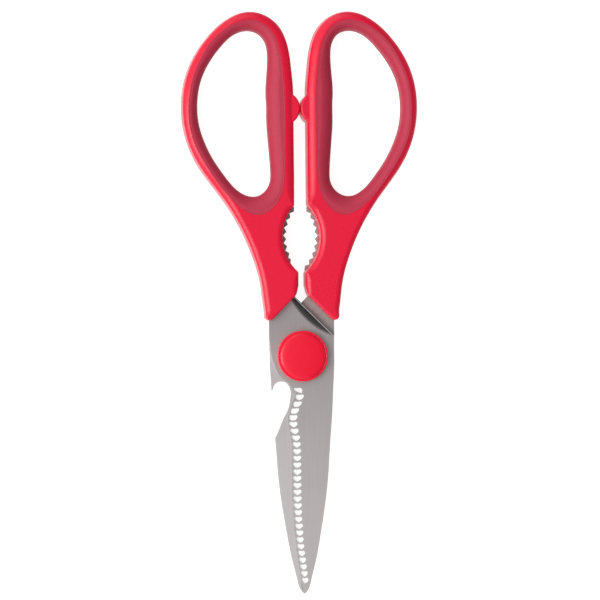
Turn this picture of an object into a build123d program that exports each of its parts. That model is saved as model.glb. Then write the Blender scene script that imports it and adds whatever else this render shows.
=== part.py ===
from build123d import *
import math
import os

# Kitchen shears with a nutcracker mouth between the handles and a bottle opener in the rear blade.
# The shears lie flat and closed. +Y runs from the pivot to the handles, +Z is up, out of the front
# face, and the origin is on the pivot axis in the plane that the shears rest on.
# Lengths are in millimetres. A value that ends in share or shares is a share of a named size.

# Whole tool
handle_thickness = 13.0
loop_length = 71.9
handle_width = 41.8
blade_reach = 88.0
blade_half_width = 12.2

# Blades
blade_thickness = 2.3
blade_gap = 0.1
bevel_width = 1.5
bevel_depth = 1.5
diagonal_distance = 13.8
tang_inset = 2.4
overrun = 5.0

# Handles, from the pivot upwards
neck_gap = 3.5
foot_cover = 1.63
foot_width = 2.5
foot_corner = 0.9
lip_corner = 1.9
lip_rise = 3.4
lip_length = 5.19
lip_half_gap = 1.0
handle_half_gap = 2.1
rim_round = 2.2
grip_slope_width = 2.5
grip_slope_depth = 2.6

# Nutcracker mouth
mouth_radius = 17.4
mouth_depth = 6.6
tooth_count = 9
tooth_height = 1.06
tooth_root = 0.05
tooth_sweep_share = 0.95

# Stop bumpers
bumper_place_share = 0.498
bumper_half_length = 4.6
bumper_margin = 0.3
bumper_gap = 0.1
bumper_stem_radius = 1.4
bumper_stem_length = 2.6

# Serrations and ground hollow of the front blade
serration_first_share = 0.144
serration_tip_margin = 4.9
serration_pitch = 2.51
serration_radius = 1.35
serration_depth = 1.2
serration_length = 2.8
hollow_width = 2.9
hollow_radius = 28.8
hollow_offset = 9.1
hollow_land = 0.4

# Pivot
bolt_radius = 4.0
bolt_running_gap = 0.05
bolt_head_radius = 6.0
bolt_slot_width = 1.2
bolt_slot_depth = 0.9
thread_radius = 2.5
nut_across = 10.0
washer_overhang = 1.0
head_washer_height = 0.4
spring_washer_height = 0.4
head_room = 0.75
nut_room = 0.45
cap_side = 2.25
cap_wall = 1.0
cap_round = 1.3
cap_snap_gap = 0.1
cap_blade_gap = 0.1

# A loop's outlines: shares of handle_width from the handle's inner side, and of loop_length up
# from the top of the mouth.
rim_loop_shares = [
    (0.000, 0.575),
    (0.015, 0.697),
    (0.045, 0.821),
    (0.124, 0.924),
    (0.248, 0.982),
    (0.404, 1.000),
    (0.592, 0.960),
    (0.780, 0.859),
    (0.913, 0.738),
    (0.983, 0.615),
    (1.000, 0.512),
    (0.972, 0.365),
    (0.851, 0.199),
    (0.648, 0.035),
]
grip_shares = [
    (0.088, 0.220),
    (0.086, 0.406),
    (0.087, 0.589),
    (0.103, 0.700),
    (0.134, 0.810),
    (0.206, 0.900),
    (0.310, 0.945),
    (0.415, 0.952),
    (0.618, 0.902),
    (0.734, 0.840),
    (0.831, 0.752),
    (0.903, 0.650),
    (0.938, 0.526),
    (0.913, 0.359),
    (0.842, 0.258),
    (0.746, 0.165),
    (0.632, 0.073),
    (0.535, 0.013),
    (0.446, -0.028),
    (0.328, -0.050),
    (0.205, -0.016),
    (0.129, 0.050),
    (0.098, 0.123),
]
hole_shares = [
    (0.241, 0.547),
    (0.236, 0.658),
    (0.225, 0.762),
    (0.255, 0.854),
    (0.320, 0.891),
    (0.402, 0.903),
    (0.521, 0.883),
    (0.637, 0.822),
    (0.743, 0.740),
    (0.828, 0.632),
    (0.857, 0.519),
    (0.845, 0.420),
    (0.793, 0.323),
    (0.722, 0.239),
    (0.622, 0.153),
    (0.496, 0.073),
    (0.416, 0.050),
    (0.354, 0.047),
    (0.276, 0.067),
    (0.217, 0.116),
    (0.208, 0.185),
    (0.226, 0.324),
    (0.239, 0.449),
]

# The shank below the loop: shares of the widening from its foot, and of its length up from there.
rim_shank_shares = [
    (0.276, 0.783),
    (0.117, 0.507),
    (0.042, 0.297),
    (0.010, 0.123),
]

# The tang in the shank: shares of blade_half_width, and of the shank's length up from its foot.
tang_shares = [
    (1.000, 0.000),
    (1.016, 0.347),
    (1.098, 0.630),
    (1.049, 0.807),
    (0.779, 0.908),
    (0.508, 0.998),
    (0.377, 1.036),
]

# A blade's outlines: shares of blade_half_width and of blade_reach, from the pivot axis.
spine_shares = [
    (0.975, -0.034),
    (0.938, -0.136),
    (0.893, -0.250),
    (0.820, -0.375),
    (0.762, -0.497),
    (0.648, -0.631),
    (0.508, -0.750),
    (0.369, -0.852),
    (0.213, -0.939),
    (0.107, -0.984),
    (0.000, -1.000),
]
edge_shares = [
    (-0.062, -0.991),
    (-0.090, -0.944),
    (-0.148, -0.881),
    (-0.221, -0.801),
    (-0.279, -0.716),
    (-0.320, -0.619),
    (-0.328, -0.511),
    (-0.328, -0.386),
    (-0.361, -0.336),
    (-0.426, -0.288),
    (-0.410, -0.242),
    (-0.303, -0.201),
    (-0.225, -0.170),
]
heel_shares = [
    (-0.225, -0.170),
    (-0.279, -0.139),
    (-0.467, -0.109),
    (-0.689, -0.082),
    (-0.844, -0.038),
    (-0.951, 0.017),
    (-1.000, 0.080),
]
opener_hook_shares = [
    (0.995, -0.120),
    (0.975, -0.134),
    (0.934, -0.143),
    (0.865, -0.132),
]
opener_notch_shares = [
    (0.865, -0.132),
    (0.800, -0.116),
    (0.672, -0.108),
    (0.480, -0.114),
    (0.385, -0.132),
    (0.344, -0.159),
]
opener_back_shares = [
    (0.344, -0.159),
    (0.377, -0.193),
    (0.443, -0.227),
    (0.566, -0.260),
    (0.690, -0.300),
    (0.877, -0.355),
]


def arc_height(half_gap):
    return math.sqrt(mouth_radius**2 - (half_gap - mouth_centre_x) ** 2)


# Heights above the rest plane, worked out from the sizes above
middle_height = handle_thickness / 2
front_blade_back = middle_height + blade_gap / 2
front_blade_face = front_blade_back + blade_thickness
head_low = front_blade_face + head_washer_height
head_high = handle_thickness - cap_wall - head_room
shoulder_end = handle_thickness - front_blade_face - cap_blade_gap
nut_high = shoulder_end - spring_washer_height
nut_low = cap_wall + nut_room
washer_radius = bolt_head_radius + washer_overhang
pocket_radius = washer_radius + cap_snap_gap

# Places up the handle from the pivot axis, and across it from the middle line
border_sum = (diagonal_distance + neck_gap) * math.sqrt(2)
foot_side = blade_half_width + foot_cover
foot_start = border_sum - foot_side + foot_width
corner_height = border_sum - lip_corner
lip_height = corner_height + lip_rise
mouth_low = lip_height + lip_length
mouth_centre_x = mouth_depth - mouth_radius
mouth_height = mouth_low + arc_height(lip_half_gap)
mouth_top = mouth_height + arc_height(handle_half_gap)
shank_length = mouth_top - foot_start
bumper_height = mouth_top + bumper_place_share * loop_length


def placed(shares, across, along):
    return [(across * x, along * y) for x, y in shares]


def moved(points, across, up):
    return [(across + x, up + y) for x, y in points]


def mirrored(points):
    return [(-x, y) for x, y in points]


def on_loop(shares):
    return moved(placed(shares, handle_width, loop_length), handle_half_gap, mouth_top)


def slab(edges, low, high):
    outline = make_face(edges)
    return extrude(Pos(0, 0, low) * outline, high - low)


def disc(radius, low, high):
    return Pos(0, 0, low) * Cylinder(radius, high - low, align=(Align.CENTER, Align.CENTER, Align.MIN))


def handle_outline():
    loop = on_loop(rim_loop_shares)
    widening = handle_half_gap + handle_width - foot_side
    shank = moved(placed(rim_shank_shares, widening, shank_length), foot_side, foot_start)
    foot = (foot_side, foot_start + foot_corner)
    mouth_start = (lip_half_gap, mouth_low)
    mouth_end = (handle_half_gap, mouth_top)
    return [
        Line(mouth_end, loop[0]),
        Spline(*loop, *shank, foot, tangents=[(0, 1), (0, -1)]),
        Polyline(
            foot,
            (foot_side - foot_corner, foot_start),
            (foot_side - foot_width, foot_start),
            (lip_corner, corner_height),
            (lip_half_gap, lip_height),
            mouth_start,
        ),
        ThreePointArc(mouth_start, (mouth_depth, mouth_height), mouth_end),
    ]


def grip_outline():
    return Spline(*on_loop(grip_shares), periodic=True)


def hole_outline():
    return Spline(*on_loop(hole_shares), periodic=True)


def tooth_points():
    root_radius = mouth_radius - tooth_root
    high = tooth_sweep_share * math.asin(arc_height(handle_half_gap) / mouth_radius)
    low = -tooth_sweep_share * math.asin(arc_height(lip_half_gap) / mouth_radius)
    points = []
    for step in range(2 * tooth_count + 1):
        angle = high + (low - high) * step / (2 * tooth_count)
        radius = root_radius - tooth_height * (step % 2)
        points.append((radius * math.cos(angle), radius * math.sin(angle)))
    return moved(points, mouth_centre_x, mouth_height)


def blade_blank():
    # The blank of the front blade, whose tang runs up inside the left handle.
    tang = mirrored(moved(placed(tang_shares, blade_half_width, shank_length), 0, foot_start))
    teeth = mirrored(tooth_points())
    spine = placed(spine_shares, blade_half_width, blade_reach)
    edge = placed(edge_shares, blade_half_width, blade_reach)
    heel = placed(heel_shares, blade_half_width, blade_reach)
    diagonal_sum = diagonal_distance * math.sqrt(2)
    neck = [
        (-tang_inset, mouth_low),
        (-tang_inset, diagonal_sum + tang_inset),
        (spine[0][0], diagonal_sum - spine[0][0]),
    ]
    outline = [
        Spline(*edge),
        Spline(*heel),
        Polyline(heel[-1], *tang, *teeth, *neck, spine[0]),
        Spline(*spine),
        Line(spine[-1], edge[0]),
    ]
    return slab(outline, front_blade_back, front_blade_face)


def bolt_hole(radius):
    return disc(radius, -overrun, handle_thickness + overrun)


def opener_cut():
    hook = mirrored(placed(opener_hook_shares, blade_half_width, blade_reach))
    notch = mirrored(placed(opener_notch_shares, blade_half_width, blade_reach))
    back = mirrored(placed(opener_back_shares, blade_half_width, blade_reach))
    outside = -blade_half_width - overrun
    outline = [
        Spline(*hook),
        Spline(*notch),
        Spline(*back),
        Polyline(back[-1], (outside, back[-1][1]), (outside, hook[0][1]), hook[0]),
    ]
    return slab(outline, -overrun, handle_thickness + overrun)


def side_at(height):
    # How far the cutting side of the front blade lies from the middle line at one height.
    edge = placed(edge_shares, blade_half_width, blade_reach)
    side = edge + placed(heel_shares, blade_half_width, blade_reach)[1:]
    for (x_low, y_low), (x_high, y_high) in zip(side, side[1:]):
        if y_low <= height <= y_high:
            return x_low + (x_high - x_low) * (height - y_low) / (y_high - y_low)
    return side[0][0]


def turned(solid):
    # Each half of the shears is the other half turned over about the middle line.
    return Pos(0, 0, handle_thickness) * Rot(0, 180, 0) * solid


def bevel_cut():
    # The space beside the cutting edge, slanted inwards as it rises to the front blade's face.
    start = front_blade_face - bevel_depth - overrun
    rise = front_blade_face + overrun - start
    lean = bevel_width / bevel_depth
    points = placed(edge_shares + heel_shares[1:3], blade_half_width, blade_reach)
    points = [(x - lean * overrun, y) for x, y in points]
    outside = -2 * blade_half_width
    around = Polyline(points[-1], (outside, points[-1][1]), (outside, points[0][1]), points[0])
    region = make_face([Spline(*points), around])
    return extrude(Pos(0, 0, start) * region, rise * math.hypot(1, lean), dir=(lean, 0, 1))


def serration(height):
    slope = math.degrees(math.atan(serration_depth / serration_length))
    root = Pos(side_at(height), height, front_blade_face - serration_depth)
    wheel = Cylinder(serration_radius, 2 * (serration_length + overrun))
    return root * Rot(0, -slope, 0) * Pos(0, 0, serration_radius) * Rot(0, 90, 0) * wheel


def ground_hollow():
    # A grinding wheel leaves a crescent where the front blade's neck ends in a slanted edge.
    out = (diagonal_distance + hollow_radius - hollow_width) / math.sqrt(2)
    along = hollow_offset / math.sqrt(2)
    small = hollow_radius - hollow_width - hollow_land
    base = (Align.CENTER, Align.CENTER, Align.MIN)
    wheel = Cone(small, hollow_radius, blade_thickness, align=base)
    return Pos(out - along, out + along, front_blade_back) * wheel


def front_blade():
    blade = blade_blank() - bevel_cut() - bolt_hole(bolt_radius) - ground_hollow()
    first = serration_first_share * blade_reach
    count = int((blade_reach - serration_tip_margin - first) / serration_pitch) + 1
    return blade - [serration(-first - serration_pitch * row) for row in range(count)]


def rear_blade():
    blade = turned(blade_blank() - bevel_cut())
    return blade - bolt_hole(bolt_radius + bolt_running_gap) - opener_cut()


def handle_body():
    # The right handle, moulded round the rear blade's tang.
    body = slab(handle_outline(), 0, handle_thickness)
    flats = body.faces().filter_by(Axis.Z)
    rims = [edge for edge in flats.edges() if edge.length > 2 * mouth_radius]
    body = fillet(rims, rim_round)
    body -= slab([grip_outline()], -overrun, handle_thickness + overrun)
    return body - bumper_stem() - turned(blade_blank())


def soft_grip():
    grip = slab([grip_outline()], 0, handle_thickness)
    grip -= slab([hole_outline()], -overrun, handle_thickness + overrun)
    for side in (0, -1):
        face = grip.faces().sort_by(Axis.Z)[side]
        rim = face.inner_wires()[0].edges()
        grip = chamfer(rim, grip_slope_width, grip_slope_depth, reference=face)
    return grip


def bumper_stem():
    stem = Cylinder(bumper_stem_radius, bumper_stem_length, align=(Align.CENTER, Align.CENTER, Align.MIN))
    return Pos(handle_half_gap, bumper_height, middle_height) * Rot(0, 90, 0) * stem


def stop_bumper():
    low = (handle_half_gap, bumper_height - bumper_half_length)
    high = (handle_half_gap, bumper_height + bumper_half_length)
    tip = (bumper_gap / 2, bumper_height)
    outline = [ThreePointArc(low, tip, high), Line(high, low)]
    skirt = rim_round + bumper_margin
    nub = slab(outline, skirt, handle_thickness - skirt)
    return nub + bumper_stem()


def pivot_bolt():
    bolt = disc(bolt_head_radius, head_low, head_high)
    bolt += disc(bolt_radius, shoulder_end, head_low)
    bolt += disc(thread_radius, nut_low, shoulder_end)
    slot = Box(2 * bolt_head_radius, bolt_slot_width, bolt_slot_depth)
    return bolt - Pos(0, 0, head_high - bolt_slot_depth / 2) * slot


def head_washer():
    return disc(washer_radius, front_blade_face, head_low) - bolt_hole(bolt_radius)


def spring_washer():
    return disc(washer_radius, nut_high, shoulder_end) - bolt_hole(thread_radius)


def pivot_nut():
    hexagon = RegularPolygon(nut_across / 2, 6, major_radius=False)
    return extrude(Pos(0, 0, nut_low) * hexagon, nut_high - nut_low) - bolt_hole(thread_radius)


def pivot_cap(seat_height):
    # A disc with a rounded rim, and a pocket in its underside for the bolt's head.
    cap = disc(pocket_radius + cap_side, seat_height, handle_thickness)
    cap = fillet(cap.edges().sort_by(Axis.Z)[-1], cap_round)
    return cap - disc(pocket_radius, seat_height, handle_thickness - cap_wall)


right_body = handle_body()
right_grip = soft_grip()
right_bumper = stop_bumper()

pieces = {
    "front_blade": front_blade(),
    "rear_blade": rear_blade(),
    "left_handle_body": turned(right_body),
    "right_handle_body": right_body,
    "left_soft_grip": turned(right_grip),
    "right_soft_grip": right_grip,
    "left_stop_bumper": turned(right_bumper),
    "right_stop_bumper": right_bumper,
    "front_pivot_cap": pivot_cap(front_blade_face),
    "rear_pivot_cap": turned(pivot_cap(front_blade_face + cap_blade_gap)),
    "pivot_bolt": pivot_bolt(),
    "head_washer": head_washer(),
    "spring_washer": spring_washer(),
    "pivot_nut": pivot_nut(),
}

os.makedirs("parts", exist_ok=True)
for node, solid in pieces.items():
    export_step(solid, f"parts/{node}.step")
    print(node, len(solid.solids()), round(solid.volume, 1), solid.is_valid)
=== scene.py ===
import math
import bmesh
import bpy
from mathutils import Matrix, Vector


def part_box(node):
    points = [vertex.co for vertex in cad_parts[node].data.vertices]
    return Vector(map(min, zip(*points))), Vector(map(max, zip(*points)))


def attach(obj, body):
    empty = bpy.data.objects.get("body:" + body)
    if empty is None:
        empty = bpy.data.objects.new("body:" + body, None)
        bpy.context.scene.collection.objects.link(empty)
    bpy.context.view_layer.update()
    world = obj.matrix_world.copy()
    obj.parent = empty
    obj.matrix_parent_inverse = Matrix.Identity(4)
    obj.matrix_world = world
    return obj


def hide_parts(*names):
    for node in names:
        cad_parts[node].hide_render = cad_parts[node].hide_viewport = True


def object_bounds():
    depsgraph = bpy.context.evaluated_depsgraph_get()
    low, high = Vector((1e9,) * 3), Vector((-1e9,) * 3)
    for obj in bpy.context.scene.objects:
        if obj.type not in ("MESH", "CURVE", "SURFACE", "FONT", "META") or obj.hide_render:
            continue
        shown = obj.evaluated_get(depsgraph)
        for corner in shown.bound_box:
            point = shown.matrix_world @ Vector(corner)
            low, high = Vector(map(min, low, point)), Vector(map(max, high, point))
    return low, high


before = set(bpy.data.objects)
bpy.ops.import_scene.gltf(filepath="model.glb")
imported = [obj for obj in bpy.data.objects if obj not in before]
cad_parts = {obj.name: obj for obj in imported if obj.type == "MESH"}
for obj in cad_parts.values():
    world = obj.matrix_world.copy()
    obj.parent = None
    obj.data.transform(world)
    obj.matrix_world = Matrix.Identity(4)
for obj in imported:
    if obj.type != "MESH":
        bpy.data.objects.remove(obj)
cad_low, cad_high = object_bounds()
mm = 0.001


# The table, the light and the camera. The shears lie closed on a plain white table, seen almost
# straight from above, with one large soft window of light on their left and a darker room around.
floor_radius = 2500 * mm
floor_drop = 0.05 * mm
floor_white = (0.6, 0.6, 0.6, 1)
floor_glow = 0.86
floor_roughness = 0.9
floor_sides = 64
bright_side = Vector((-0.97, 0.05, 0.2)).normalized()
# Each tone of the room has its place on the ramp, from the dark side to the window, and its colour.
room_shade = (0.2, (0.28, 0.28, 0.285, 1))
window_glow = (0.95, (3.6, 3.6, 3.6, 1))
overhead_shade = (0.66, (0.06, 0.06, 0.06, 1))
view_target = Vector((-0.5, 20.7, 7.5)) * mm
view_distance = 1200 * mm
view_width = 222 * mm
view_lean = math.radians(5)
view_roll = math.radians(0.6)
sensor_width = 36.0


def wire(tree, source, target):
    tree.links.new(source, target)


def node_in(tree, kind, **settings):
    made = tree.nodes.new(kind)
    for name, value in settings.items():
        setattr(made, name, value)
    return made


def show(name, shape, *materials):
    # Turns a finished bmesh into an object in the scene.
    mesh = bpy.data.meshes.new(name)
    shape.to_mesh(mesh)
    shape.free()
    piece = bpy.data.objects.new(name, mesh)
    bpy.context.scene.collection.objects.link(piece)
    for material in materials:
        mesh.materials.append(material)
    return piece


def plain_material(name):
    material = bpy.data.materials.new(name)
    material.use_nodes = True
    return material, material.node_tree, material.node_tree.nodes["Principled BSDF"]


table_white, tree, surface = plain_material("table_white")
surface.inputs["Base Color"].default_value = floor_white
surface.inputs["Roughness"].default_value = floor_roughness
surface.inputs["Specular IOR Level"].default_value = 0.0
surface.inputs["Emission Color"].default_value = (1, 1, 1, 1)
rays = node_in(tree, "ShaderNodeLightPath")
either = node_in(tree, "ShaderNodeMath", operation="MAXIMUM")
seen = node_in(tree, "ShaderNodeMath", operation="MAXIMUM")
glow = node_in(tree, "ShaderNodeMath", operation="MULTIPLY")
glow.inputs[1].default_value = floor_glow
wire(tree, rays.outputs["Is Camera Ray"], either.inputs[0])
wire(tree, rays.outputs["Is Glossy Ray"], either.inputs[1])
wire(tree, either.outputs[0], seen.inputs[0])
wire(tree, rays.outputs["Is Transmission Ray"], seen.inputs[1])
wire(tree, seen.outputs[0], glow.inputs[0])
wire(tree, glow.outputs[0], surface.inputs["Emission Strength"])

ground = bmesh.new()
bmesh.ops.create_circle(ground, cap_ends=True, segments=floor_sides, radius=floor_radius)
bmesh.ops.translate(ground, verts=ground.verts, vec=(0, 0, -floor_drop))
show("table", ground, table_white)

world = bpy.data.worlds.new("studio")
world.use_nodes = True
bpy.context.scene.world = world
tree = world.node_tree
sky = tree.nodes["Background"]
place = node_in(tree, "ShaderNodeTexCoord")
facing = node_in(tree, "ShaderNodeVectorMath", operation="DOT_PRODUCT")
facing.inputs[1].default_value = bright_side
shade = node_in(tree, "ShaderNodeValToRGB")
shade.color_ramp.interpolation = "B_SPLINE"
stops = shade.color_ramp.elements
stops[0].position, stops[0].color = room_shade
stops[1].position, stops[1].color = window_glow
stops.new(overhead_shade[0]).color = overhead_shade[1]
spread = node_in(tree, "ShaderNodeMapRange")
spread.inputs["From Min"].default_value = -1
wire(tree, place.outputs["Generated"], facing.inputs[0])
wire(tree, facing.outputs["Value"], spread.inputs["Value"])
wire(tree, spread.outputs["Result"], shade.inputs["Fac"])
wire(tree, shade.outputs["Color"], sky.inputs["Color"])
sky.inputs["Strength"].default_value = 1.0


def lamp(name, place, width, height, power):
    light = bpy.data.lights.new(name, "AREA")
    light.shape = "RECTANGLE"
    light.size = width
    light.size_y = height
    light.energy = power
    holder = bpy.data.objects.new(name, light)
    holder.location = place
    holder.rotation_euler = (view_target - place).to_track_quat("-Z", "Y").to_euler()
    holder.visible_camera = False
    bpy.context.scene.collection.objects.link(holder)


# Each lamp's place, width and height are in metres, and its power in watts.
lamp("window", Vector((-0.56, -0.05, 0.70)), 0.45, 0.6, 3.25)
lamp("upper_fill", Vector((-0.1, 0.95, 0.62)), 0.6, 0.6, 0.9)
lamp("lower_fill", Vector((0, -0.9, 0.62)), 0.6, 0.6, 1.3)

back = Vector((-math.sin(view_lean), 0, math.cos(view_lean)))
up = Vector((math.sin(view_roll), math.cos(view_roll), 0))
right = up.cross(back).normalized()
up = back.cross(right)
lens = bpy.data.cameras.new("camera")
lens.sensor_width = sensor_width
lens.lens = sensor_width * view_distance / view_width
camera = bpy.data.objects.new("camera", lens)
turn = Matrix((right, up, back)).transposed().to_4x4()
camera.matrix_world = Matrix.Translation(view_target + back * view_distance) @ turn
bpy.context.scene.collection.objects.link(camera)
bpy.context.scene.camera = camera
bpy.context.scene.view_settings.view_transform = "Standard"


# The two handle mouldings: hard red plastic, injection moulded round the tangs. The outer edges
# are well rounded, the walls lean in a little for the mould, and a pocket holds the soft grip.
mid_height = (cad_low.z + cad_high.z) / 2
half_height = (cad_high.z - cad_low.z) / 2
point_spacing = 0.7 * mm
rim_round = 2.9 * mm
shank_round = 1.9 * mm
mouth_round = 2.0 * mm
foot_round = 0.7 * mm
round_drop_share = 0.62
round_power = 1.7
wall_lean = 0.5 * mm
shank_top = 48 * mm
loop_start = 66 * mm
rim_steps = 8
corner_span = 2
round_share = 0.42
lean_start = -20 * mm
lean_rise = 70 * mm
pocket_flare = 0.05 * mm
pocket_overrun = 2.0 * mm
mouth_side = 7.0 * mm
foot_top = 22.4 * mm
foot_side = 13.2 * mm
section_height = 3.3 * mm
grip_section = 6.2 * mm
weld = 0.002 * mm
seam_weld = 0.001 * mm
level_slack = 0.01 * mm
level_normal = 0.9999
straight_angle = math.radians(0.2)
merge_share = 0.4
least_turn = 0.05
moulding_crease = 32
moulding_ease = 1
grip_ease = 2
round_ease = 3
drift_scale = 45
plastic_red = (0.85, 0.003, 0.041, 1)


def cut_through(node, height):
    # The outlines of a node where a level plane cuts it, each filled with one face.
    shape = bmesh.new()
    shape.from_mesh(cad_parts[node].data)
    bmesh.ops.remove_doubles(shape, verts=shape.verts, dist=weld)
    everything = shape.verts[:] + shape.edges[:] + shape.faces[:]
    bmesh.ops.bisect_plane(
        shape,
        geom=everything,
        plane_co=(0, 0, height),
        plane_no=(0, 0, 1),
        clear_inner=True,
        clear_outer=True,
    )
    bmesh.ops.remove_doubles(shape, verts=shape.verts, dist=weld)
    bmesh.ops.edgeloop_fill(shape, edges=shape.edges)
    return shape


def keep_outline(shape, largest):
    # Keeps the outermost outline, or else the hole inside it, and drops the others.
    faces = sorted(shape.faces, key=lambda face: face.calc_area())
    kept = faces[-1] if largest else faces[-2]
    others = [face for face in shape.faces if face != kept]
    bmesh.ops.delete(shape, geom=others, context="FACES")
    loose = [vert for vert in shape.verts if not vert.link_faces]
    bmesh.ops.delete(shape, geom=loose, context="VERTS")


def even_out(shape, passes):
    # Spreads an outline's points evenly and eases its corners a little, as a mould's are.
    bmesh.ops.remove_doubles(shape, verts=shape.verts, dist=merge_share * point_spacing)
    bmesh.ops.dissolve_limit(shape, angle_limit=straight_angle, verts=shape.verts, edges=shape.edges)
    for edge in shape.edges[:]:
        cuts = int(edge.calc_length() / point_spacing)
        if cuts:
            bmesh.ops.subdivide_edges(shape, edges=[edge], cuts=cuts)
    for _ in range(passes):
        bmesh.ops.smooth_vert(shape, verts=shape.verts, factor=0.5, use_axis_x=True, use_axis_y=True)


def numbered(shape, height):
    # Lays an outline at a height, numbers its points, and gives each its place and the way inwards.
    number = shape.verts.layers.int.new("number")
    for vert in shape.verts:
        vert.co.z = height
    shape.faces.ensure_lookup_table()
    face = shape.faces[0]
    places = []
    for index, corner in enumerate(face.loops):
        corner.vert[number] = index
        places.append((corner.vert.co.copy(), corner.calc_tangent()))
    bmesh.ops.delete(shape, geom=[face], context="FACES_ONLY")
    return number, places


def raise_walls(shape, number, places, steps):
    # Grows walls from an open outline. A step gives how far in and how high each point goes.
    rim = shape.edges[:]
    for inset, height in steps:
        grown = bmesh.ops.extrude_edge_only(shape, edges=rim)["geom"]
        rim = [item for item in grown if isinstance(item, bmesh.types.BMEdge)]
        for vert in (item for item in grown if isinstance(item, bmesh.types.BMVert)):
            spot, inwards = places[vert[number]]
            index = vert[number]
            vert.co = spot + inwards * inset(index)
            vert.co.z = height(index)
    return rim


def doubled(shape, height):
    # Adds the other face of a piece, whose two faces are alike.
    bmesh.ops.mirror(
        shape,
        geom=shape.verts[:] + shape.edges[:] + shape.faces[:],
        matrix=Matrix.Translation((0, 0, -height)),
        merge_dist=seam_weld,
        axis="Z",
    )
    bmesh.ops.remove_doubles(shape, verts=shape.verts, dist=seam_weld)
    bmesh.ops.recalc_face_normals(shape, faces=shape.faces)


def shade_smooth(piece, angle):
    # Smooth shading, but level faces stay flat so that long cuts leave no streaks on them.
    piece.data.set_sharp_from_angle(angle=math.radians(angle))
    for face in piece.data.polygons:
        face.use_smooth = abs(face.normal.z) < level_normal


def carve(piece, *cutters):
    # Cuts shapes out of a piece for good, and removes the cutters.
    for cutter in cutters:
        change = piece.modifiers.new("cut", "BOOLEAN")
        change.operation = "DIFFERENCE"
        change.solver = "EXACT"
        change.material_mode = "TRANSFER"
        change.object = cutter
    bpy.context.view_layer.update()
    seen_by = bpy.context.evaluated_depsgraph_get()
    mesh = bpy.data.meshes.new_from_object(piece.evaluated_get(seen_by))
    piece.modifiers.clear()
    piece.data = mesh
    for cutter in cutters:
        bpy.data.objects.remove(cutter)


def group_tree(name, inputs, outputs):
    group = bpy.data.node_groups.new(name, "ShaderNodeTree")
    kinds = {"colour": "NodeSocketColor", "value": "NodeSocketFloat"}
    for label, kind, value in inputs:
        made = group.interface.new_socket(label, in_out="INPUT", socket_type=kinds[kind])
        made.default_value = value
    for label, kind in outputs:
        group.interface.new_socket(label, in_out="OUTPUT", socket_type=kinds[kind])
    return group, group.nodes.new("NodeGroupInput"), group.nodes.new("NodeGroupOutput")


def swings(group, given, pairs):
    # Turns textures from 0 to 1 into swings round 0, as wide as the group's inputs say. It gives the
    # first one's swing and the sum of both.
    made = []
    for texture, label in pairs:
        centred = node_in(group, "ShaderNodeMath", operation="MULTIPLY_ADD")
        centred.inputs[1].default_value = 2
        centred.inputs[2].default_value = -1
        scaled = node_in(group, "ShaderNodeMath", operation="MULTIPLY")
        wire(group, texture.outputs["Fac"], centred.inputs[0])
        wire(group, centred.outputs[0], scaled.inputs[0])
        wire(group, given.outputs[label], scaled.inputs[1])
        made.append(scaled.outputs[0])
    both = node_in(group, "ShaderNodeMath", operation="ADD")
    wire(group, made[0], both.inputs[0])
    wire(group, made[1], both.inputs[1])
    return made[0], both.outputs[0]


def finish_group(group, given, result, colour, swing, rough_swing, height):
    # Lightens and darkens the colour by one swing, and takes the other from the roughness.
    level_up = node_in(group, "ShaderNodeMath", operation="ADD")
    level_up.inputs[1].default_value = 1
    tint = node_in(group, "ShaderNodeVectorMath", operation="SCALE")
    rough = node_in(group, "ShaderNodeMath", operation="SUBTRACT")
    wire(group, swing, level_up.inputs[0])
    wire(group, colour, tint.inputs[0])
    wire(group, level_up.outputs[0], tint.inputs["Scale"])
    wire(group, tint.outputs[0], result.inputs["Colour"])
    wire(group, given.outputs["Base Roughness"], rough.inputs[0])
    wire(group, rough_swing, rough.inputs[1])
    wire(group, rough.outputs[0], result.inputs["Roughness"])
    wire(group, height, result.inputs["Height"])


def moulded_grain():
    # The fine orange-peel grain of a mould: speckle and slow drift in the colour, and a height.
    group, given, result = group_tree(
        "moulded_grain",
        [("Colour", "colour", (1, 1, 1, 1)), ("Speckle", "value", 0.05), ("Drift", "value", 0.05),
         ("Grain Scale", "value", 3000.0), ("Base Roughness", "value", 0.45)],
        [("Colour", "colour"), ("Roughness", "value"), ("Height", "value")],
    )
    place = node_in(group, "ShaderNodeTexCoord")
    fine = node_in(group, "ShaderNodeTexNoise")
    fine.inputs["Detail"].default_value = 3
    slow = node_in(group, "ShaderNodeTexNoise")
    slow.inputs["Scale"].default_value = drift_scale
    slow.inputs["Detail"].default_value = 2
    wire(group, place.outputs["Object"], fine.inputs["Vector"])
    wire(group, place.outputs["Object"], slow.inputs["Vector"])
    wire(group, given.outputs["Grain Scale"], fine.inputs["Scale"])
    both = swings(group, given, ((fine, "Speckle"), (slow, "Drift")))[1]
    finish_group(group, given, result, given.outputs["Colour"], both, both, fine.outputs["Fac"])
    return group


grain_group = moulded_grain()


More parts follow.
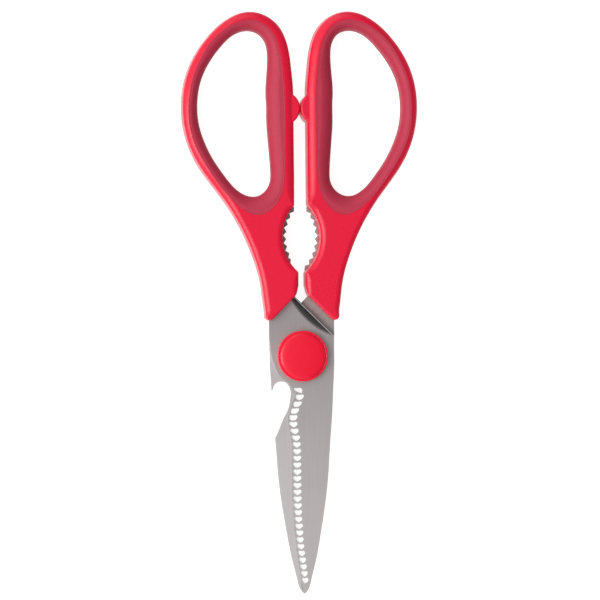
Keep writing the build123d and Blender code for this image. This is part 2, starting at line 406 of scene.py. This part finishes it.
def plastic(name, colour, roughness, shine, speckle, drift, grain_scale, grain_height):
    # A moulded plastic, whose speckle and drift say how uneven its colour and roughness are.
    material, tree, surface = plain_material(name)
    grain = node_in(tree, "ShaderNodeGroup", node_tree=grain_group)
    grain.inputs["Colour"].default_value = colour
    grain.inputs["Speckle"].default_value = speckle
    grain.inputs["Drift"].default_value = drift
    grain.inputs["Grain Scale"].default_value = grain_scale
    grain.inputs["Base Roughness"].default_value = roughness
    bump = node_in(tree, "ShaderNodeBump")
    bump.inputs["Distance"].default_value = grain_height
    wire(tree, grain.outputs["Colour"], surface.inputs["Base Color"])
    wire(tree, grain.outputs["Roughness"], surface.inputs["Roughness"])
    wire(tree, grain.outputs["Height"], bump.inputs["Height"])
    wire(tree, bump.outputs["Normal"], surface.inputs["Normal"])
    surface.inputs["IOR"].default_value = 1.5
    surface.inputs["Specular IOR Level"].default_value = shine
    return material


hard_red = plastic("hard_red_plastic", plastic_red, 0.30, 0.46, 0.05, 0.06, 2600, 0.010 * mm)


def smooth_share(value):
    value = max(0.0, min(1.0, value))
    return value * value * (3 - 2 * value)


def edge_round(spot):
    # How much the moulding's edge is rounded: fully round the finger loop, and little elsewhere.
    across = abs(spot.x)
    if spot.y < foot_top and across < foot_side:
        return foot_round
    if across < mouth_side and spot.y < shank_top:
        return mouth_round
    share = smooth_share((spot.y - shank_top) / (loop_start - shank_top))
    return shank_round + (rim_round - shank_round) * share


def corner_room(places):
    # How far in an edge may be rounded at each point, which is little at an outer corner.
    room = []
    count = len(places)
    for index, (spot, inwards) in enumerate(places):
        before = spot - places[index - corner_span][0]
        after = places[(index + corner_span) % count][0] - spot
        turning = before.angle(after)
        outer = (after - before).dot(inwards) > 0
        length = (before.length + after.length) / 2
        room.append(length / turning if outer and turning > least_turn else 1)
    return [
        min(room[(index + shift) % count] for shift in range(-corner_span, corner_span + 1))
        for index in range(count)
    ]


def rounded(share, power):
    # How high a rounded edge has climbed, as a share, once it has gone a share of its way in.
    return (1 - (1 - share) ** power) ** (1 / power)


def eased(values, passes):
    for _ in range(passes):
        values = [
            (values[index - 1] + 2 * value + values[(index + 1) % len(values)]) / 4
            for index, value in enumerate(values)
        ]
    return values


def pocket_cutter(side):
    shape = cut_through(f"{side}_soft_grip", grip_section)
    keep_outline(shape, True)
    even_out(shape, grip_ease)
    number, places = numbered(shape, mid_height)
    top = cad_high.z
    steps = [
        (lambda index: 0, lambda index: top - pocket_flare),
        (lambda index: -pocket_flare, lambda index: top),
        (lambda index: -pocket_flare, lambda index: top + pocket_overrun),
    ]
    rim = raise_walls(shape, number, places, steps)
    bmesh.ops.edgeloop_fill(shape, edges=rim)
    doubled(shape, mid_height)
    return show(f"{side}_pocket_cutter", shape, hard_red)


for side in ("left", "right"):
    shape = cut_through(f"{side}_handle_body", section_height)
    keep_outline(shape, True)
    even_out(shape, moulding_ease)
    number, places = numbered(shape, mid_height)
    room = corner_room(places)
    rounds = [min(edge_round(spot), round_share * most) for (spot, inwards), most in zip(places, room)]
    rounds = eased(rounds, round_ease)
    leans = [wall_lean * smooth_share((spot.y - lean_start) / lean_rise) for spot, inwards in places]
    steps = []
    for step in range(rim_steps + 1):
        share = 1 - math.cos(math.pi / 2 * step / rim_steps)
        drop = round_drop_share * (1 - rounded(share, round_power))
        steps.append((
            lambda index, share=share: leans[index] + rounds[index] * share,
            lambda index, drop=drop: cad_high.z - rounds[index] * drop,
        ))
    rim = raise_walls(shape, number, places, steps)
    bmesh.ops.edgeloop_fill(shape, edges=rim)
    doubled(shape, mid_height)
    moulding = show(f"{side}_handle_moulding", shape, hard_red)
    carve(moulding, pocket_cutter(side))
    shade_smooth(moulding, moulding_crease)
    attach(moulding, f"{side}_half")
    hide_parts(f"{side}_handle_body")


# The two soft grips: a duller, rubbery red moulded round each finger hole over the hard plastic.
# Each slopes up in a round from the hole's wall across nearly its whole width, and ends in a fine
# groove and a fine raised lip beside the hard plastic.
grip_red = (0.52, 0.020, 0.060, 1)
hole_wall_share = 0.50
slope_share = 0.97
slope_most = 4.4 * mm
slope_power = 1.6
slope_steps = 9
slope_ease = 6
crown_drop = 0.08 * mm
# The lip's profile: how far in from the outer edge, and how high over the face, in millimetres.
lip_profile = [(0.0, 0.0), (0.12, 0.06), (0.40, 0.042), (0.56, -0.05), (0.80, 0.0)]
lip_width = 0.8 * mm
grip_crease = 40
soft_red = plastic("soft_red_grip", grip_red, 0.62, 0.58, 0.12, 0.05, 2200, 0.03 * mm)

for side in ("left", "right"):
    rubber = cut_through(f"{side}_soft_grip", grip_section)
    keep_outline(rubber, False)
    even_out(rubber, grip_ease)
    number, places = numbered(rubber, mid_height)
    rim = cut_through(f"{side}_soft_grip", grip_section)
    keep_outline(rim, True)
    even_out(rim, grip_ease)
    border = [vert.co.xy for vert in rim.verts]
    widths = [min((spot.xy - point).length for point in border) for spot, inwards in places]
    slopes = eased([min(slope_most, slope_share * width - lip_width) for width in widths], slope_ease)
    wall = hole_wall_share * half_height
    rise = half_height - crown_drop - wall
    steps = [(lambda index: 0, lambda index: mid_height + wall)]
    for step in range(1, slope_steps + 1):
        share = 1 - math.cos(math.pi / 2 * step / slope_steps)
        climb = rounded(share, slope_power)
        steps.append((
            lambda index, share=share: -share * slopes[index],
            lambda index, climb=climb: mid_height + wall + rise * climb,
        ))
    raise_walls(rubber, number, places, steps)
    number, places = numbered(rim, mid_height)
    flat = cad_high.z - crown_drop
    steps = [
        (lambda index, inset=inset: inset * mm, lambda index, climb=climb: flat + climb * mm)
        for inset, climb in lip_profile
    ]
    raise_walls(rim, number, places, steps)
    spare = bpy.data.meshes.new("grip_rim")
    rim.to_mesh(spare)
    rim.free()
    rubber.from_mesh(spare)
    bpy.data.meshes.remove(spare)
    open_edges = [
        edge
        for edge in rubber.edges
        if edge.is_boundary and all(abs(vert.co.z - flat) < level_slack for vert in edge.verts)
    ]
    bmesh.ops.triangle_fill(rubber, use_beauty=True, edges=open_edges)
    doubled(rubber, mid_height)
    grip = show(f"{side}_grip_rubber", rubber, soft_red)
    shade_smooth(grip, grip_crease)
    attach(grip, f"{side}_half")
    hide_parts(f"{side}_soft_grip")


# The two stop bumpers: short round nubs of the hard plastic, one on each handle's inner side. They
# meet when the shears close, so that the finger loops never pinch.
nub_edge = 0.7 * mm
nub_reach = 4.4 * mm
nub_height = 2.05 * mm
nub_margin = 0.8 * mm
nub_round_steps = 6
nub_crease = 35
nub_segments = 96


def trim(shape, point, way):
    # Cuts a closed shape off at a plane and closes the cut.
    ends = bmesh.ops.bisect_plane(
        shape,
        geom=shape.verts[:] + shape.edges[:] + shape.faces[:],
        plane_co=point,
        plane_no=way,
        clear_outer=True,
    )["geom_cut"]
    edges = [item for item in ends if isinstance(item, bmesh.types.BMEdge)]
    bmesh.ops.edgeloop_fill(shape, edges=edges)


for side in ("left", "right"):
    low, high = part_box(f"{side}_stop_bumper")
    sign = -1 if side == "left" else 1
    tip = high.x if side == "left" else low.x
    half_chord = (high.y - low.y) / 2
    radius = (half_chord ** 2 + nub_height ** 2) / (2 * nub_height)
    nub = bmesh.new()
    thickness = 2 * (half_height - nub_margin)
    bmesh.ops.create_cone(
        nub, cap_ends=True, segments=nub_segments, radius1=radius, radius2=radius, depth=thickness
    )
    rims = [edge for edge in nub.edges if abs(edge.verts[0].co.z - edge.verts[1].co.z) < level_slack]
    bmesh.ops.bevel(
        nub, geom=rims, offset=nub_edge, segments=nub_round_steps, profile=0.5, affect="EDGES", material=-1
    )
    centre = Vector((tip + sign * radius, (low.y + high.y) / 2, mid_height))
    bmesh.ops.translate(nub, verts=nub.verts, vec=centre)
    trim(nub, (sign * nub_reach, 0, 0), (sign, 0, 0))
    bmesh.ops.recalc_face_normals(nub, faces=nub.faces)
    bumper = show(f"{side}_bumper_nub", nub, hard_red)
    shade_smooth(bumper, nub_crease)
    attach(bumper, f"{side}_half")
    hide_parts(f"{side}_stop_bumper")


# The two blades: stamped stainless steel blanks, flat ground and brushed lengthwise, each painted
# lighter towards its tip. The front one has polished flutes along its edge, painted white as a
# reflection, and a hollow ground beside its ridge, painted dark as shade. The rear one has the bottle
# opener, a bevel on its hidden edge, and a paler band where it shows.

# The blanks: broken edges, the bevel on the cutting side, and where that side is.
edge_break = 0.09 * mm
cut_in = 0.05 * mm
outline_weld = 1.6 * edge_break
outline_ease = math.radians(0.3)
edge_side = 1 * mm
edge_facing = 0.5
bevel_depth = 1.5 * mm
front_bevel = 0.06 * mm
rear_bevel = 1.5 * mm
bevel_top = -9.6 * mm
bevel_fade = 2.0 * mm
tip_share = 0.12
tip_length = 2.0 * mm
tip_break_share = 0.15

# The flutes. A higher power makes a flute's lower side squarer, and a few have their own.
flute_first = -12.7 * mm
flute_pitch = 2.51 * mm
flute_count = 29
flute_height = 2.15 * mm
flute_width = 3.0 * mm
flute_tip_width = 2.4 * mm
flute_margin = 0.12 * mm
flute_shoulder = 0.4
flute_dip = 0.28
flute_square = 1.5
squarer_flutes = {1: 2.2, 2: 4.0, 3: 4.0, 4: 4.0}
first_flute_lean = 0.5
flute_deep = 0.35 * mm
flute_shallow = 0.17 * mm
flute_sides = 40
slant_step = 1 * mm
cutter_overrun = 1 * mm

# The hollow, painted dark as shade, whose outermost share is painted paler where that shade fades, and
# the ridge beside it, with its painted highlight.
hollow_radius = 29.2 * mm
hollow_width = 3.2 * mm
hollow_depth = 1.8 * mm
hollow_steps = 10
hollow_sides = 360
hollow_proud = 0.01 * mm
hollow_place = Vector((21.6, 34.5, 0)) * mm
hollow_end = 23.5 * mm
hollow_shade_fade_share = 0.2
ridge_side = Vector((1, 1, 0)).normalized()
ridge_distance = 13.8 * mm
ridge_width = 0.5 * mm
ridge_shadow = 0.27 * mm

# The bolt's holes. The rear blade turns on the bolt, so its hole is a little wider.
bolt_sides = 96
bolt_fit = 4.0 * mm
bolt_turning_fit = 4.05 * mm

# The finishes and the painted light and shade: where each begins, its colour and texture, and its slot
# on the blade.
heel_top = 12 * mm
tang_start = 2.0 * mm
band_high = -14 * mm
band_low = -80 * mm
band_hidden = 1.5 * mm
edge_normal = 0.7
heel_normal = 0.2
tip_start = 25 * mm
tip_end = -60 * mm
# The tip greys are painted light: each blade fades from its grey near the handles to a lighter grey at its
# tip.
steel_grey = (0.44, 0.415, 0.415, 1)
steel_painted_light_tip_grey = (0.665, 0.625, 0.615, 1)
rear_grey = (0.62, 0.575, 0.585, 1)
rear_painted_light_tip_grey = (0.75, 0.71, 0.71, 1)
edge_shadow_grey = (0.20, 0.20, 0.20, 1)
heel_shade_grey = (0.42, 0.40, 0.40, 1)
tang_grey = (0.42, 0.41, 0.40, 1)
tooth_shade_grey = (0.24, 0.24, 0.235, 1)
ridge_highlight_grey = (0.62, 0.60, 0.59, 1)
hollow_shade_grey = (0.06, 0.066, 0.066, 1)
streak_scale = (2600, 55, 2600)
cloud_scale = 90
blade_crease = 25
edge_shadow_slot, heel_shade_slot, tooth_shade_slot, ridge_highlight_slot = 1, 2, 3, 4
tang_slot, hidden_slot = 1, 2


def brushed():
    # Long fine scratches of a grinding belt: lighter and darker streaks, a roughness and a height.
    # The colour also fades along the blade towards its tip colour. This is painted light: darker near the
    # handles, lighter towards the tip.
    group, given, result = group_tree(
        "brushed_streaks",
        [("Colour", "colour", (1, 1, 1, 1)), ("Tip Colour", "colour", (1, 1, 1, 1)),
         ("Streaks", "value", 0.1), ("Clouds", "value", 0.05), ("Base Roughness", "value", 0.3),
         ("Turn", "value", 0.0)],
        [("Colour", "colour"), ("Roughness", "value"), ("Height", "value")],
    )
    place = node_in(group, "ShaderNodeTexCoord")
    turned = node_in(group, "ShaderNodeVectorRotate", rotation_type="Z_AXIS")
    squeezed = node_in(group, "ShaderNodeMapping")
    squeezed.inputs["Scale"].default_value = streak_scale
    streak = node_in(group, "ShaderNodeTexNoise")
    streak.inputs["Scale"].default_value = 1
    streak.inputs["Detail"].default_value = 4
    cloud = node_in(group, "ShaderNodeTexNoise")
    cloud.inputs["Scale"].default_value = cloud_scale
    cloud.inputs["Detail"].default_value = 2
    wire(group, place.outputs["Object"], turned.inputs["Vector"])
    wire(group, given.outputs["Turn"], turned.inputs["Angle"])
    wire(group, turned.outputs["Vector"], squeezed.inputs["Vector"])
    wire(group, squeezed.outputs["Vector"], streak.inputs["Vector"])
    wire(group, place.outputs["Object"], cloud.inputs["Vector"])
    along = node_in(group, "ShaderNodeSeparateXYZ")
    share = node_in(group, "ShaderNodeMapRange")
    share.inputs["From Min"].default_value = tip_start
    share.inputs["From Max"].default_value = tip_end
    fade = node_in(group, "ShaderNodeMix", data_type="RGBA")
    wire(group, place.outputs["Object"], along.inputs[0])
    wire(group, along.outputs["Y"], share.inputs["Value"])
    wire(group, share.outputs["Result"], fade.inputs["Factor"])
    wire(group, given.outputs["Colour"], fade.inputs["A"])
    wire(group, given.outputs["Tip Colour"], fade.inputs["B"])
    streaks, both = swings(group, given, ((streak, "Streaks"), (cloud, "Clouds")))
    finish_group(group, given, result, fade.outputs["Result"], both, streaks, streak.outputs["Fac"])
    return group


brushed_group = brushed()


def steel(name, colour, metallic, roughness, streaks, clouds, turn, scratch_height, painted_light_tip_colour=None):
    # A ground steel. Turn is the angle in radians between its scratches and the blade's length.
    material, tree, surface = plain_material(name)
    marks = node_in(tree, "ShaderNodeGroup", node_tree=brushed_group)
    marks.inputs["Colour"].default_value = colour
    marks.inputs["Tip Colour"].default_value = painted_light_tip_colour or colour
    marks.inputs["Streaks"].default_value = streaks
    marks.inputs["Clouds"].default_value = clouds
    marks.inputs["Base Roughness"].default_value = roughness
    marks.inputs["Turn"].default_value = turn
    bump = node_in(tree, "ShaderNodeBump")
    bump.inputs["Distance"].default_value = scratch_height
    surface.inputs["Metallic"].default_value = metallic
    wire(tree, marks.outputs["Colour"], surface.inputs["Base Color"])
    wire(tree, marks.outputs["Roughness"], surface.inputs["Roughness"])
    wire(tree, marks.outputs["Height"], bump.inputs["Height"])
    wire(tree, bump.outputs["Normal"], surface.inputs["Normal"])
    return material


blade_steel = steel(
    "brushed_blade_steel", steel_grey, 0.85, 0.42, 0.10, 0.04, 0.0, 0.002 * mm, steel_painted_light_tip_grey
)
rear_steel = steel(
    "brushed_rear_steel", rear_grey, 0.85, 0.42, 0.10, 0.04, 0.0, 0.002 * mm, rear_painted_light_tip_grey
)
# Painted shade: the heel's left-facing edges are darker than the blade around them, so they show no light
# from the window.
heel_shade_steel = steel("heel_painted_shade_steel", heel_shade_grey, 0.85, 0.45, 0.10, 0.04, 0.0, 0.002 * mm)
# A painted shadow: the front blade's cutting edge and the ridge's far side are dark grey, as in the shadow
# beside them.
edge_shadow_steel = steel("edge_painted_shadow_steel", edge_shadow_grey, 0.9, 0.40, 0.10, 0.04, 0.0, 0.002 * mm)
tang_steel = steel("ground_tang_steel", tang_grey, 0.6, 0.5, 0.30, 0.06, 0.8, 0.004 * mm)
# Painted shade: the front blade's teeth in the mouth are dark grey, as in the handle's shadow, and the
# hollow's outer share takes the same grey.
tooth_shade_steel = steel("tooth_painted_shade_steel", tooth_shade_grey, 0.6, 0.5, 0.30, 0.06, 0.8, 0.004 * mm)
# A painted highlight: the thin strip along the ridge is brighter than the blade.
ridge_highlight_steel = steel("ridge_painted_highlight_steel", ridge_highlight_grey, 0.5, 0.35, 0.05, 0.02, 0.8, 0.0005 * mm)
# A painted reflection: the polished flutes are plain white, not metal, standing in for the white room they
# reflect.
flute_painted_white = steel("flute_painted_reflection_white", (1, 1, 1, 1), 0.0, 0.2, 0.01, 0.005, 0.0, 0.0005 * mm)
# Painted shade: the hollow's ground face is nearly black, standing in for the shade and dark reflection on
# it.
hollow_shade_steel = steel("hollow_painted_shade_steel", hollow_shade_grey, 0.1, 0.62, 0.25, 0.10, 0.8, 0.002 * mm)


def blank(node, low, high, cutting_sign, bevel_width, ground_up):
    # A blade's blank from its outline: broken edges all round, and the cutting side ground away.
    # It also gives the points of the cutting edge.
    shape = cut_through(node, low + cut_in if ground_up else high - cut_in)
    keep_outline(shape, True)
    bmesh.ops.remove_doubles(shape, verts=shape.verts, dist=outline_weld)
    bmesh.ops.dissolve_limit(shape, angle_limit=outline_ease, verts=shape.verts, edges=shape.edges)
    number, places = numbered(shape, low)
    tip = min(spot.y for spot, inwards in places)
    ground = []
    breaks = []
    for spot, inwards in places:
        breaks.append(edge_break * min(1, tip_break_share + (spot.y - tip) / tip_length))
        on_edge = inwards.x * cutting_sign < -edge_facing and spot.x * cutting_sign > -edge_side
        if not on_edge or spot.y > bevel_top:
            ground.append(0)
            continue
        share = smooth_share((bevel_top - spot.y) / bevel_fade)
        ground.append(share * min(bevel_width, tip_share * (spot.y - tip)))
        inwards.xy = (-cutting_sign, 0)
    flat, sharp = (low, high) if ground_up else (high, low)
    way = 1 if ground_up else -1
    steps = [
        (lambda index: 0, lambda index: flat + way * edge_break),
        (lambda index: 0, lambda index: sharp - way * bevel_depth),
        (
            lambda index: ground[index] * (1 - edge_break / bevel_depth),
            lambda index: sharp - way * edge_break,
        ),
        (lambda index: ground[index] + breaks[index], lambda index: sharp),
    ]
    for vert in shape.verts:
        index = vert[number]
        spot, inwards = places[index]
        vert.co = spot + inwards * breaks[index]
        vert.co.z = flat
    first = shape.edges[:]
    rim = raise_walls(shape, number, places, steps)
    bmesh.ops.edgeloop_fill(shape, edges=rim)
    bmesh.ops.edgeloop_fill(shape, edges=first)
    bmesh.ops.recalc_face_normals(shape, faces=shape.faces)
    return shape, [spot for (spot, inwards), depth in zip(places, ground) if depth > 0]


def score(shape, point, way):
    # Marks a shape along a plane without cutting it apart, so that two materials can meet there, among
    # them the painted light and shade.
    bmesh.ops.bisect_plane(
        shape, geom=shape.verts[:] + shape.edges[:] + shape.faces[:], plane_co=point, plane_no=way
    )


def bolt_cutter(radius):
    shape = bmesh.new()
    bmesh.ops.create_cone(
        shape, cap_ends=True, segments=bolt_sides, radius1=radius, radius2=radius, depth=4 * half_height
    )
    bmesh.ops.translate(shape, verts=shape.verts, vec=(0, 0, mid_height))
    return show("bolt_cutter", shape, blade_steel)


low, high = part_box("front_blade")
front, edge_line = blank("front_blade", low.z, high.z, -1, front_bevel, True)
edge_line.sort(key=lambda spot: spot.y)


def edge_at(height):
    # Where the cutting edge lies across the blade at one height along it.
    for below, above in zip(edge_line, edge_line[1:]):
        if below.y <= height <= above.y:
            share = (height - below.y) / (above.y - below.y)
            return below.x + (above.x - below.x) * share
    return edge_line[0].x


flutes = bmesh.new()
for row in range(flute_count):
    height = flute_first - flute_pitch * row
    share = row / (flute_count - 1)
    width = flute_width + (flute_tip_width - flute_width) * smooth_share(2 * share - 1)
    slant = (edge_at(height + slant_step) - edge_at(height - slant_step)) / (2 * slant_step)
    square = squarer_flutes.get(row, flute_square)
    lean = first_flute_lean if row == 0 else 0
    ring = bmesh.ops.create_circle(flutes, cap_ends=True, segments=flute_sides, radius=1)["verts"]
    for vert in ring:
        across, along = vert.co.x, vert.co.y
        if along > 0:
            along = along ** flute_shoulder - flute_dip * (1 - abs(across)) ** 2
        else:
            along = -(1 - abs(across) ** square)
            across -= lean * along * (1 - abs(across))
        across *= width / 2
        along *= flute_height / 2
        vert.co.x = edge_at(height) + flute_margin + width / 2 + across + slant * along
        vert.co.y = height + along
        inward = (across + width / 2) / width
        vert.co.z = high.z - flute_deep + (flute_deep - flute_shallow) * inward
    face = next(face for face in ring[0].link_faces)
    grown = bmesh.ops.extrude_face_region(flutes, geom=[face])["geom"]
    for vert in (item for item in grown if isinstance(item, bmesh.types.BMVert)):
        vert.co.z = high.z + cutter_overrun
bmesh.ops.recalc_face_normals(flutes, faces=flutes.faces)
flute_cutter = show("flute_cutter", flutes, flute_painted_white)

hollow = bmesh.new()
bmesh.ops.create_circle(hollow, cap_ends=True, segments=hollow_sides, radius=hollow_radius)
bmesh.ops.translate(hollow, verts=hollow.verts, vec=hollow_place)
number, places = numbered(hollow, high.z + hollow_proud)
brim = hollow.edges[:]
steps = []
for step in range(1, hollow_steps + 1):
    share = step / hollow_steps
    steps.append((
        lambda index, share=share: hollow_width * share,
        lambda index, share=share: high.z - hollow_depth * share ** 2,
    ))
rim = raise_walls(hollow, number, places, steps)
bmesh.ops.edgeloop_fill(hollow, edges=rim)
bmesh.ops.edgeloop_fill(hollow, edges=brim)
trim(hollow, ridge_side * (ridge_distance - ridge_width), ridge_side)
trim(hollow, (0, hollow_end, 0), (0, 1, 0))
bmesh.ops.recalc_face_normals(hollow, faces=hollow.faces)
hollow_cutter = show("hollow_cutter", hollow, hollow_shade_steel, tooth_shade_steel)
# The hollow's outermost share takes the teeth's paler painted shade.
for face in hollow_cutter.data.polygons:
    if (face.center.xy - hollow_place.xy).length > hollow_radius - hollow_shade_fade_share * hollow_width:
        face.material_index = 1

score(front, ridge_side * (ridge_distance - ridge_width), ridge_side)
score(front, ridge_side * (ridge_distance - ridge_shadow), ridge_side)
score(front, (0, hollow_end, 0), (0, 1, 0))
front_piece = show(
    "front_blade_steel", front, blade_steel, edge_shadow_steel, heel_shade_steel, tooth_shade_steel, ridge_highlight_steel
)
# Painted light on the front blade: a painted shadow on the cutting edge, painted shade on the heel and
# the mouth's teeth, a painted shadow on the ridge's far side, and a painted highlight on the ridge.
for face in front_piece.data.polygons:
    if face.normal.x < -edge_normal and face.center.y < bevel_top:
        face.material_index = edge_shadow_slot
    elif face.normal.x < -heel_normal and face.center.y < heel_top:
        face.material_index = heel_shade_slot
    elif face.center.y > hollow_end:
        face.material_index = tooth_shade_slot
    elif face.center.dot(ridge_side) > ridge_distance - ridge_shadow:
        face.material_index = edge_shadow_slot
    elif face.center.dot(ridge_side) > ridge_distance - ridge_width:
        face.material_index = ridge_highlight_slot
carve(front_piece, bolt_cutter(bolt_fit), hollow_cutter, flute_cutter)
shade_smooth(front_piece, blade_crease)
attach(front_piece, "left_half")
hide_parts("front_blade")

low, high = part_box("rear_blade")
rear = blank("rear_blade", low.z, high.z, 1, rear_bevel, False)[0]
score(rear, (0, tang_start, 0), (0, 1, 0))
band_top = Vector((edge_at(band_high) + band_hidden, band_high, 0))
band_end = Vector((edge_at(band_low) + band_hidden, band_low, 0))
band_side = (band_top - band_end).cross(Vector((0, 0, 1))).normalized()
score(rear, band_top, band_side)
rear_piece = show("rear_blade_steel", rear, rear_steel, tang_steel, blade_steel)
for face in rear_piece.data.polygons:
    if face.center.y > tang_start:
        face.material_index = tang_slot
    elif (face.center - band_top).dot(band_side) > 0:
        face.material_index = hidden_slot
carve(rear_piece, bolt_cutter(bolt_turning_fit))
shade_smooth(rear_piece, blade_crease)
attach(rear_piece, "right_half")
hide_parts("rear_blade")


# The two pivot caps: glossy round covers of the same red plastic, pressed over the bolt's ends.
# Each has a very slightly domed face, a step down to a fine groove, and a thin rim round it.
cap_red = (0.92, 0.002, 0.033, 1)
cap_turns = 128
# The face's profile: the dome's points are placed by their share of the radius, and the others by
# millimetres in from the edge. The second number is how many millimetres each lies below the top.
cap_dome = [(0.0, 0.0), (0.35, 0.04), (0.65, 0.14)]
cap_step = [(1.9, 0.26), (1.4, 0.36), (1.0, 0.50), (0.93, 0.62), (0.85, 0.95), (0.78, 1.02)]
cap_groove = [(0.74, 1.03), (0.68, 1.01), (0.3, 0.90), (0.1, 0.98), (0.0, 1.2)]
cap_foot = 0.15 * mm
cap_bore = 7.1 * mm
cap_wall = 1.0 * mm
cap_crease = 50
glossy_red = plastic("glossy_red_cap", cap_red, 0.22, 0.5, 0.03, 0.05, 1800, 0.004 * mm)

for side in ("front", "rear"):
    low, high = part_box(f"{side}_pivot_cap")
    radius = (high.x - low.x) / 2
    seat, face = (low.z, high.z) if side == "front" else (high.z, low.z)
    way = 1 if side == "front" else -1
    tall = abs(face - seat)
    outline = [(share * radius, tall - fall * mm) for share, fall in cap_dome]
    outline += [(radius - inwards * mm, tall - fall * mm) for inwards, fall in cap_step + cap_groove]
    outline += [(radius, cap_foot), (radius - cap_foot, 0.0), (cap_bore, 0.0)]
    outline += [(cap_bore, tall - cap_wall), (0.0, tall - cap_wall)]
    cap = bmesh.new()
    ring = [cap.verts.new((across, 0, seat + way * up_by)) for across, up_by in outline]
    lines = [cap.edges.new(pair) for pair in zip(ring, ring[1:])]
    bmesh.ops.spin(
        cap,
        geom=ring + lines,
        cent=(0, 0, 0),
        axis=(0, 0, 1),
        angle=math.tau,
        steps=cap_turns,
        use_merge=True,
    )
    bmesh.ops.remove_doubles(cap, verts=cap.verts, dist=weld)
    bmesh.ops.recalc_face_normals(cap, faces=cap.faces)
    cover = show(f"{side}_cap_cover", cap, glossy_red)
    shade_smooth(cover, cap_crease)
    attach(cover, "left_half")
    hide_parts(f"{side}_pivot_cap")


# The bolt, its two washers and the nut: turned steel and one nylon washer, hidden under the caps.
# Their shapes are right as they are, so they only get their finish.
bolt_grey = (0.55, 0.55, 0.56, 1)
nylon_white = (0.75, 0.73, 0.68, 1)
bolt_steel = steel("turned_bolt_steel", bolt_grey, 1.0, 0.28, 0.08, 0.04, 0.0, 0.002 * mm)
nylon = plastic("pale_nylon", nylon_white, 0.5, 0.5, 0.03, 0.03, 2000, 0.006 * mm)
for node, material in (
    ("pivot_bolt", bolt_steel),
    ("pivot_nut", bolt_steel),
    ("spring_washer", bolt_steel),
    ("head_washer", nylon),
):
    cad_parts[node].material_slots[0].material = material
